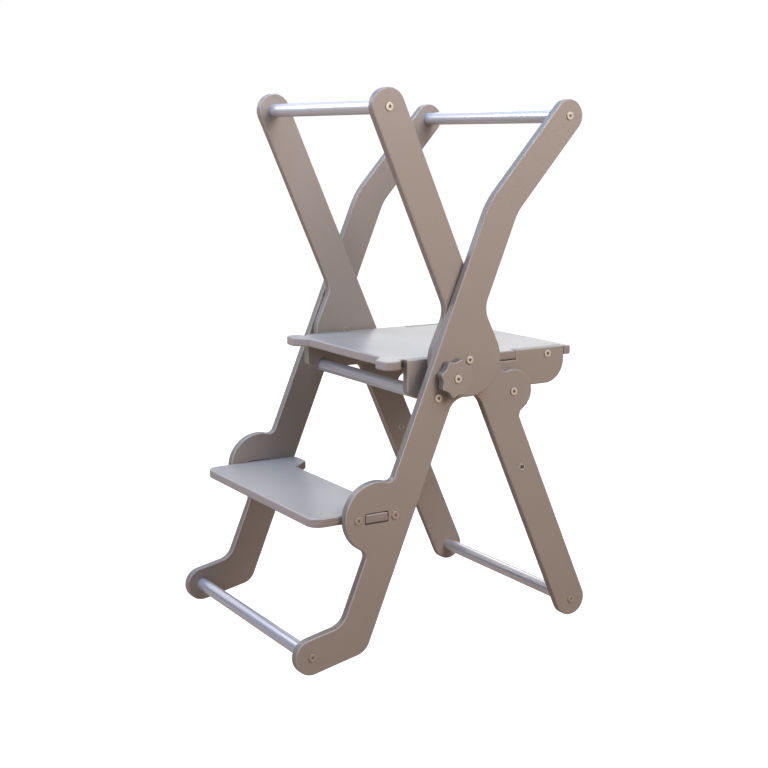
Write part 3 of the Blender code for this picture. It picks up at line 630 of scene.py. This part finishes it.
clamp_reach = math.dist(pivot, knob)
clamp_angle = angle_of(pivot, knob)
for word, _ in SIDES:
    node = f"inner_panel_{word}"
    holes = curved_slot(
        pivot, clamp_reach, clamp_angle - SLOT_MARGIN, clamp_angle + FOLD + SLOT_MARGIN,
        PIVOT_BORE, 2 * board,
    )
    for place, radius in (
        (rear_foot, BOLT_BORE), (upper_front, BOLT_BORE), (pivot, PIVOT_BORE),
        (platform_pivot, PIVOT_BORE), (leg_hole, INSERT_BORE),
    ):
        drill_through(holes, place, radius, 2 * board)
    show(
        f"{node}_painted", plate(inner_panel, board), upright(middle(node).x), node,
        [upright_paint, shaded_edge_paint], holes,
    )

# Platform: a level board with a notch and a tab along each side and two ears in front, so that it
# locks into the tops of its side boards. Two screws through each side board hold it.
EAR_WIDTH = 0.0355
EAR_DEPTH = 0.0205
EAR_SLOPE = 0.020
EAR_ROUND = 0.013
EAR_INNER_ROUND = 0.003
EAR_GAP = 0.007
EAR_REAR_ROUND = 0.012
TAB_SETBACK = 0.0995
TAB_LENGTH = 0.119
apron_low, apron_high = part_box("platform_apron_right")
top_low, top_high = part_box("platform_board")
platform_z = (top_low.z + top_high.z) / 2
apron_front = apron_low.y
apron_rear = apron_high.y
ear_tip = top_low.y
platform_front = ear_tip + EAR_DEPTH
out = apron_high.x
inside = apron_low.x - FIT
tab_rear = apron_rear - TAB_SETBACK
ear_in = out - EAR_WIDTH
ear_rear = apron_front - EAR_GAP
platform_outline = both_halves([
    (ear_in - EAR_SLOPE, platform_front, 0.0),
    (ear_in + EAR_INNER_ROUND, ear_tip + EAR_INNER_ROUND, EAR_INNER_ROUND),
    (out - EAR_ROUND, ear_tip + EAR_ROUND, EAR_ROUND),
    (out - EAR_REAR_ROUND, ear_rear - EAR_REAR_ROUND, EAR_REAR_ROUND),
    (inside, ear_rear, 0.0),
    (inside, tab_rear - TAB_LENGTH, 0.0),
    (out, tab_rear - TAB_LENGTH, 0.0),
    (out, tab_rear, 0.0),
    (inside, tab_rear, 0.0),
    (inside, apron_rear + FIT, 0.0),
    (out, apron_rear + FIT, 0.0),
    (out - EAR_INNER_ROUND, top_high.y - EAR_INNER_ROUND, EAR_INNER_ROUND),
])
apron_screws = [seen_from_side(f"apron_{end}_screw_right") for end in ("front", "rear")]
show(
    "platform_board_painted", plate(platform_outline, board, LEVEL_RIM), flat_at(platform_z),
    "platform_board", [level_paint, shaded_level_edge_paint],
    edge_bores([(side * inside, y) for side in (-1, 1) for y, _ in apron_screws], SCREW_REACH),
)

# Side boards of the platform: each hooks over the rest bar in front and turns about its pivot bolt
# behind, where a lobe keeps wood all round the bolt. A notch in the top takes the platform's tab.
APRON_FRONT_RISE = 0.0065
APRON_FRONT_ROUND = 0.005
APRON_REAR_ROUND = 0.038
APRON_REAR_RISE = 0.001
APRON_DEPTH = 0.0615
APRON_LOBE_R = 0.017
APRON_LOBE_FILLET = 0.010
HOOK_ROUND = 0.003
HOOK_FLARE = 0.002
TAB_CLEAR = 0.0008
hook_wall = (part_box("platform_rest_dowel")[1].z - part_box("platform_rest_dowel")[0].z) / 2 + FIT
platform_top = top_high.z
apron_bottom = platform_top - APRON_DEPTH
front_bottom = apron_bottom + APRON_FRONT_RISE
rear_bottom = apron_bottom + APRON_REAR_RISE
tab_bottom = platform_top - board - TAB_CLEAR
lobe = (platform_pivot, APRON_LOBE_R, APRON_LOBE_FILLET)
apron_outline = [
    (apron_front + APRON_FRONT_ROUND, front_bottom + APRON_FRONT_ROUND, APRON_FRONT_ROUND),
    (rest_bar[0] - hook_wall - HOOK_ROUND, apron_bottom + HOOK_ROUND, HOOK_ROUND),
    (*rest_bar, -hook_wall),
    (rest_bar[0] + hook_wall + HOOK_FLARE + HOOK_ROUND, apron_bottom + HOOK_ROUND, HOOK_ROUND),
    disc_fillet((0.0, apron_bottom), 0.0, *lobe, -1),
    (*platform_pivot, APRON_LOBE_R),
    disc_fillet((0.0, rear_bottom), 0.0, *lobe, 1),
    (apron_rear - APRON_REAR_ROUND, rear_bottom + APRON_REAR_ROUND, APRON_REAR_ROUND),
    (apron_rear, platform_top, 0.0),
    (tab_rear + TAB_CLEAR, platform_top, 0.0),
    (tab_rear + TAB_CLEAR, tab_bottom, 0.0),
    (tab_rear - TAB_LENGTH - TAB_CLEAR, tab_bottom, 0.0),
    (tab_rear - TAB_LENGTH - TAB_CLEAR, platform_top, 0.0),
    (apron_front, platform_top, 0.0),
]
for word, _ in SIDES:
    node = f"platform_apron_{word}"
    holes = bmesh.new()
    for place, radius in (
        (platform_pivot, PIVOT_BORE), (apron_screws[0], SCREW_BORE), (apron_screws[1], SCREW_BORE),
    ):
        drill_through(holes, place, radius, 2 * board)
    show(
        f"{node}_painted", plate(apron_outline, board), upright(middle(node).x), node,
        [upright_paint, shaded_edge_paint], holes,
    )

# Clamping knobs: discs of painted board with eight tips and wide hollows between them, well rounded
# for the hand, on a bolt that runs through both frames.
KNOB_TIP = 0.0310
KNOB_VALLEY = 0.0265
KNOB_TIP_ROUND = 0.0045
KNOB_LOBES = 8
KNOB_TURN = math.radians(30.0)
KNOB_RIM = 0.0016
# Painted shadow: the knobs' cut edges take this much darker paint, in place of the shadow around
# their sides.
KNOB_EDGE_SHADOW = (0.130, 0.106, 0.086, 1.0)
KNOB_EDGE_SHADOW_DARK = (0.115, 0.094, 0.076, 1.0)
pitch = 2 * math.pi / KNOB_LOBES
tip_reach = KNOB_TIP - KNOB_TIP_ROUND
across = tip_reach * math.cos(pitch / 2) - KNOB_VALLEY
aside = tip_reach * math.sin(pitch / 2)
hollow = (across ** 2 + aside ** 2 - KNOB_TIP_ROUND ** 2) / (2 * (KNOB_TIP_ROUND + across))
knob_paint = satin_paint(
    "taupe_paint_knob", (300.0, 22.0, 22.0), grain_depth=0.00005, rough=0.42, peel_depth=0.00002,
)
# Knob edge paint: its very dark colours are painted shadow.
knob_edge_shadow_paint = satin_paint(
    "taupe_paint_knob_edge_shadow", (60.0, 60.0, 260.0), grain_depth=0.00009, rough=0.50,
    peel_depth=0.00003, pale=KNOB_EDGE_SHADOW, dark=KNOB_EDGE_SHADOW_DARK,
)
for word, side in SIDES:
    node = f"lock_knob_{word}"
    low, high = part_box(node)
    scallops = []
    for tip in range(KNOB_LOBES):
        tip_angle = side * KNOB_TURN + pitch * tip
        scallops.append((*along((0.0, 0.0), tip_angle, tip_reach), KNOB_TIP_ROUND))
        scallops.append((*along((0.0, 0.0), tip_angle + pitch / 2, KNOB_VALLEY + hollow), -hollow))
    holes = bmesh.new()
    drill_through(holes, (0.0, 0.0), PIVOT_BORE, 2 * board)
    show(
        f"{node}_painted", plate(scallops, high.x - low.x, KNOB_RIM),
        facing(side, middle(node).x, knob), node, [knob_paint, knob_edge_shadow_paint],
        holes,
    )

# Bolts and screws: steel with a low round head, lacquered cream. The hexagon socket for the key and
# the sides of the head and shank are painted darker, as painted shade. The heads at the feet and the
# step take a darker copy of the cream, also painted shade. The shanks run on into the bars, boards
# and nuts.
CAP_R = 0.0064
CAP_T = 0.0016
CAP_ROUND = 0.0008
SOCKET_ACROSS = 0.0046
SOCKET_DEPTH = 0.0010
SOCKET_LEAD = 0.0002
HEX_SIDES = 6
HEAD_STEPS = 8 * HEX_SIDES
BOLT_SHANK = 0.003
SHANKS = {"pivot": 0.004, "knob": 0.004, "screw": 0.002}
CREAM = (0.700, 0.640, 0.530, 1.0)
CREAM_DULL = (0.600, 0.540, 0.440, 1.0)
# Painted shade: the heads at the feet and the step take this darker copy of the cream.
SHADED_CREAM = (0.440, 0.370, 0.290, 1.0)
SHADED_CREAM_DULL = (0.380, 0.315, 0.245, 1.0)
# Painted shade: the socket's floor and the sides of the head and shank take these darker colours.
SOCKET_SHADE = (0.170, 0.145, 0.115, 1.0)
SOCKET_SHADE_DULL = (0.140, 0.120, 0.095, 1.0)
LOW_HEAD_SOCKET_SHADE = (0.270, 0.225, 0.175, 1.0)
LOW_HEAD_SOCKET_SHADE_DULL = (0.240, 0.200, 0.155, 1.0)
LOW_SHADED_HEADS = ("front_foot", "rear_foot", "step_")


def quarter_round(radius, height, size, steps=5):
    """Rounded outer corner of a turned piece, from its top to its side."""
    points = []
    for step in range(steps + 1):
        angle = math.pi / 2 * step / steps
        u, v = size * math.sin(angle), size * math.cos(angle)
        points.append((radius - size + u, height - size + v))
    return points


def socket_head(shank_r, length):
    """Turned bolt with a hexagon socket: the top is bridged from the rim to the hexagon."""
    profile = quarter_round(CAP_R, CAP_T, CAP_ROUND) + [
        (CAP_R, 0.0), (shank_r, 0.0), (shank_r, -length), (0.0, -length),
    ]
    work = turned(profile, HEAD_STEPS)
    rim = [edge for edge in work.edges if len(edge.link_faces) == 1]
    corner = SOCKET_ACROSS / math.sqrt(3) + SOCKET_LEAD
    circle = bmesh.ops.create_circle(
        work, segments=HEX_SIDES, radius=corner, matrix=Matrix.Translation((0.0, 0.0, CAP_T)),
    )
    edges = [edge for edge in work.edges if edge.verts[0] in circle["verts"]]
    cut = bmesh.ops.subdivide_edges(work, edges=edges, cuts=HEAD_STEPS // HEX_SIDES - 1)
    hexagon = [item for item in cut["geom"] if isinstance(item, bmesh.types.BMEdge)]
    bmesh.ops.bridge_loops(work, edges=rim + hexagon)
    lead_scale = 1 - SOCKET_LEAD / corner
    for scale, drop in ((lead_scale, SOCKET_LEAD), (1.0, SOCKET_DEPTH - SOCKET_LEAD)):
        wall = bmesh.ops.extrude_edge_only(work, edges=hexagon)
        lower = [item for item in wall["geom"] if isinstance(item, bmesh.types.BMVert)]
        hexagon = [
            item for item in wall["geom"]
            if isinstance(item, bmesh.types.BMEdge) and all(vert in lower for vert in item.verts)
        ]
        bmesh.ops.scale(work, verts=lower, vec=(scale, scale, 1.0))
        bmesh.ops.translate(work, verts=lower, vec=(0.0, 0.0, -drop))
    bottom = bmesh.ops.contextual_create(work, geom=hexagon)
    # The socket's floor takes the second finish, which is painted shade.
    for face in bottom["faces"]:
        face.material_index = 1
    bmesh.ops.recalc_face_normals(work, faces=work.faces)
    return work


cream = metal("cream_cap", CREAM, CREAM_DULL, metallic=0.2, rough=0.34, coat=0.2)
# Darker copy of the cream lacquer for the low heads, as painted shade.
shaded_cream = metal("shaded_cream_cap", SHADED_CREAM, SHADED_CREAM_DULL, metallic=0.2, rough=0.38, coat=0.1)
# Painted shade for the sockets and the sides of the heads.
socket_shade = metal("socket_shade", SOCKET_SHADE, SOCKET_SHADE_DULL, metallic=0.2, rough=0.45)
low_head_socket_shade = metal("low_head_socket_shade", LOW_HEAD_SOCKET_SHADE, LOW_HEAD_SOCKET_SHADE_DULL, metallic=0.2, rough=0.45)
for word, side in SIDES:
    for kind in ("front_foot_bolt", "upper_rear_bolt", "rest_dowel_bolt", "upper_front_bolt",
                 "rear_foot_bolt", "frame_pivot_bolt", "platform_pivot_bolt", "step_front_screw",
                 "step_rear_screw", "apron_front_screw", "apron_rear_screw", "knob_bolt"):
        node = f"{kind}_{word}"
        low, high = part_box(node)
        shank = next((size for part, size in SHANKS.items() if part in kind), BOLT_SHANK)
        seat = high.x - CAP_T if side > 0 else low.x + CAP_T
        finishes = [shaded_cream, low_head_socket_shade] if kind.startswith(LOW_SHADED_HEADS) else [cream, socket_shade]
        show(
            f"{node}_capped", socket_head(shank, high.x - low.x - CAP_T),
            facing(side, seat, seen_from_side(node)), node, finishes,
        )

# Nuts and washers: cap nuts on the pivots in a darker copy of the cream lacquer, as painted shade, a
# plain steel nut on the clamp bolt, steel sleeves in the rear legs painted paler than plain steel,
# as painted light inside their bores, and nylon washers and bushes that keep the moving boards
# apart.
NUT_ROUND = 0.0009
RING_STEPS = 48
RING_BORE = 0.0044
SLEEVE_BORE = 0.0040
RING_LEAD = 0.0003
STEEL = (0.550, 0.540, 0.520, 1.0)
STEEL_DULL = (0.440, 0.430, 0.410, 1.0)
# Painted light: the sleeves take this steel, paler than plain steel, so the inside of their bores
# looks lit.
LIT_STEEL = (0.560, 0.510, 0.450, 1.0)
LIT_STEEL_DULL = (0.500, 0.455, 0.400, 1.0)
NYLON = (0.620, 0.600, 0.560, 1.0)
NYLON_DULL = (0.560, 0.540, 0.500, 1.0)
# Painted shade: the cap nuts between the frames take this darker copy of the cream lacquer.
NUT_SHADE = (0.400, 0.330, 0.270, 1.0)
NUT_SHADE_DULL = (0.340, 0.280, 0.230, 1.0)
steel = metal("zinc_steel", STEEL, STEEL_DULL, metallic=0.9, rough=0.36)
# Paler steel for the sleeves, as painted light inside their bores.
lit_steel = metal("sleeve_steel_painted_light", LIT_STEEL, LIT_STEEL_DULL, metallic=0.3, rough=0.45)
nylon = metal("pale_nylon", NYLON, NYLON_DULL, metallic=0.0, rough=0.50)
# Darker lacquer for the cap nuts, as painted shade.
nut_shade = metal("nut_lacquer_shaded", NUT_SHADE, NUT_SHADE_DULL, metallic=0.3, rough=0.45)


def ring(bore, outer, length):
    """Washer, bush or sleeve about its own middle, with its edges broken."""
    half = length / 2
    lead = min(RING_LEAD, half / 2)
    return turned([
        (bore + lead, half), (outer - lead, half), (outer, half - lead), (outer, lead - half),
        (outer - lead, -half), (bore + lead, -half), (bore, lead - half), (bore, half - lead),
    ], RING_STEPS, closed=True)


for word, side in SIDES:
    for kind, bore, finish, slot in (
        ("frame_pivot_washer", RING_BORE, nylon, "pale_nylon"),
        ("lock_spacer", RING_BORE, nylon, "pale_nylon"),
        ("platform_pivot_bush", RING_BORE, nylon, "pale_nylon"),
        ("knob_washer", RING_BORE, nylon, "pale_nylon"),
        ("lock_nut", RING_BORE, steel, "zinc_steel"),
        ("leg_insert", SLEEVE_BORE, lit_steel, "zinc_steel"),
    ):
        node = f"{kind}_{word}"
        low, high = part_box(node)
        show(
            f"{node}_turned", ring(bore, (high.z - low.z) / 2, high.x - low.x),
            facing(side, middle(node).x, seen_from_side(node)), node, [finish],
        )
    for kind in ("frame_pivot_nut", "platform_pivot_nut"):
        node = f"{kind}_{word}"
        low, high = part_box(node)
        long = high.x - low.x
        outer = (high.z - low.z) / 2
        wall = 2 * FIT
        profile = quarter_round(outer, long, NUT_ROUND) + [
            (outer, 0.0), (RING_BORE, 0.0), (RING_BORE, long / 2 + wall), (0.0, long / 2 + wall),
        ]
        open_end = high.x if side > 0 else low.x
        show(
            f"{node}_turned", turned([(0.0, long)] + profile, RING_STEPS),
            facing(-side, open_end, seen_from_side(node)), node, [nut_shade],
        )

# Floor and light: a plain pale floor that only the camera sees, so that nothing shines up from it
# but the warm lower half of the room. It lies a little below the feet, because the inner legs reach
# below them when the tower is folded. Softboxes stand for the sky, for the windows in front and on
# the left, and for the warm room on the near side.
FLOOR_SIZE = 300.0
FLOOR_DROP = 0.05
FLOOR_NEAR = 1.2
FLOOR_FAR = 2.6
FLOOR_GREY = (0.40, 0.40, 0.40, 1.0)
WHITE = (1.0, 1.0, 1.0, 1.0)
GLOW_NEAR = 0.86
GLOW_FAR = 1.05
floor_mesh = bmesh.new()
bmesh.ops.create_grid(floor_mesh, x_segments=1, y_segments=1, size=FLOOR_SIZE / 2)
floor_data = bpy.data.meshes.new("floor")
floor_mesh.to_mesh(floor_data)
floor_mesh.free()
floor = bpy.data.objects.new("floor", floor_data)
floor.location.z = -FLOOR_DROP
bpy.context.scene.collection.objects.link(floor)
floor.visible_diffuse = False
floor.visible_glossy = False
floor_paint = bpy.data.materials.new("pale_floor")
floor_paint.use_nodes = True
floor_tree = floor_paint.node_tree
floor_shader = floor_tree.nodes["Principled BSDF"]
floor_shader.inputs["Base Color"].default_value = FLOOR_GREY
floor_shader.inputs["Roughness"].default_value = 0.9
floor_shader.inputs["Specular IOR Level"].default_value = 0.0
floor_shader.inputs["Emission Color"].default_value = WHITE
# The floor glows as painted light: a little less within FLOOR_NEAR of the middle, so that the lamps'
# shadows show faintly there, and fully white beyond FLOOR_FAR.
distance = floor_tree.nodes.new("ShaderNodeVectorMath")
distance.operation = "LENGTH"
floor_tree.links.new(stretched(floor_tree, (1.0, 1.0, 1.0)), distance.inputs[0])
glow = spread(floor_tree, distance.outputs["Value"], GLOW_NEAR, GLOW_FAR, FLOOR_NEAR, FLOOR_FAR)
floor_tree.links.new(glow, floor_shader.inputs["Emission Strength"])
floor_data.materials.append(floor_paint)


def softbox(name, place, target, size, power, colour):
    """Square area light aimed at a point."""
    data = bpy.data.lights.new(name, "AREA")
    data.size = size
    data.energy = power
    data.color = colour
    lamp = bpy.data.objects.new(name, data)
    lamp.location = place
    lamp.rotation_euler = (Vector(target) - Vector(place)).to_track_quat("-Z", "Y").to_euler()
    lamp.visible_camera = False
    bpy.context.scene.collection.objects.link(lamp)


AIM = (0.0, 0.0, 0.45)
AIM_HIGH = (0.1, 0.0, 0.7)
AIM_TOP = (0.0, 0.0, 0.8)
softbox("skylight", (-0.4, -0.3, 2.6), AIM, 1.5, 72.0, (0.36, 0.59, 1.0))
softbox("front_window", (0.2, -2.6, 1.3), AIM, 1.5, 68.0, (0.75, 0.81, 1.0))
softbox("left_window", (-2.8, -0.2, 1.7), AIM, 2.6, 19.0, (1.0, 0.92, 0.96))
softbox("left_rear_window", (-1.9, 1.6, 1.6), AIM, 1.5, 17.0, (1.0, 0.97, 0.90))
softbox("left_high", (-0.9, -0.7, 1.3), AIM_TOP, 0.5, 5.0, (0.93, 0.95, 1.0))
softbox("near_high", (1.3, 0.5, 2.0), AIM_HIGH, 1.0, 20.0, (0.79, 0.87, 1.0))
softbox("near_room", (2.2, 0.6, 1.6), AIM_HIGH, 1.2, 34.5, (1.0, 0.84, 0.77))

# Room: dim and warm below the horizon and nearly black above it, and plain white where the camera
# looks past the tower.
ROOM_BELOW = (0.43, 0.34, 0.28, 1.0)
ROOM_ABOVE = (0.04, 0.04, 0.04, 1.0)
HORIZON_START = -0.06
room = bpy.data.worlds.new("white_room")
room.use_nodes = True
room_tree = room.node_tree
around = room_tree.nodes.new("ShaderNodeTexCoord")
height = room_tree.nodes.new("ShaderNodeSeparateXYZ")
room_tree.links.new(around.outputs["Generated"], height.inputs["Vector"])
tint = room_tree.nodes.new("ShaderNodeMix")
tint.data_type = "RGBA"
tint.inputs["A"].default_value = ROOM_BELOW
tint.inputs["B"].default_value = ROOM_ABOVE
horizon = spread(room_tree, height.outputs["Z"], 0.0, 1.0, HORIZON_START, 0.0)
room_tree.links.new(horizon, tint.inputs["Factor"])
rays = room_tree.nodes.new("ShaderNodeLightPath")
backdrop = room_tree.nodes.new("ShaderNodeMix")
backdrop.data_type = "RGBA"
backdrop.inputs["B"].default_value = WHITE
room_tree.links.new(rays.outputs["Is Camera Ray"], backdrop.inputs["Factor"])
room_tree.links.new(tint.outputs["Result"], backdrop.inputs["A"])
room_tree.links.new(backdrop.outputs["Result"], room_tree.nodes["Background"].inputs["Color"])
bpy.context.scene.world = room
bpy.context.scene.view_settings.view_transform = "Standard"

# Camera: a little lower than the tower's top, off its right front corner.
LENS = 65.17
SENSOR = 36.0
EYE = (2.0019, -1.1925, 0.8095)
LOOK = (-0.84593, 0.50393, -0.17449)
RIGHT = (0.51191, 0.85904, -0.0008)
UP = (-0.14949, 0.0900, 0.98466)
camera_data = bpy.data.cameras.new("camera")
camera_data.lens = LENS
camera_data.sensor_width = SENSOR
camera = bpy.data.objects.new("camera", camera_data)
bpy.context.scene.collection.objects.link(camera)
axes = Matrix((RIGHT, UP, tuple(-value for value in LOOK))).transposed()
camera.matrix_world = Matrix.Translation(EYE) @ axes.to_4x4()
bpy.context.scene.camera = camera
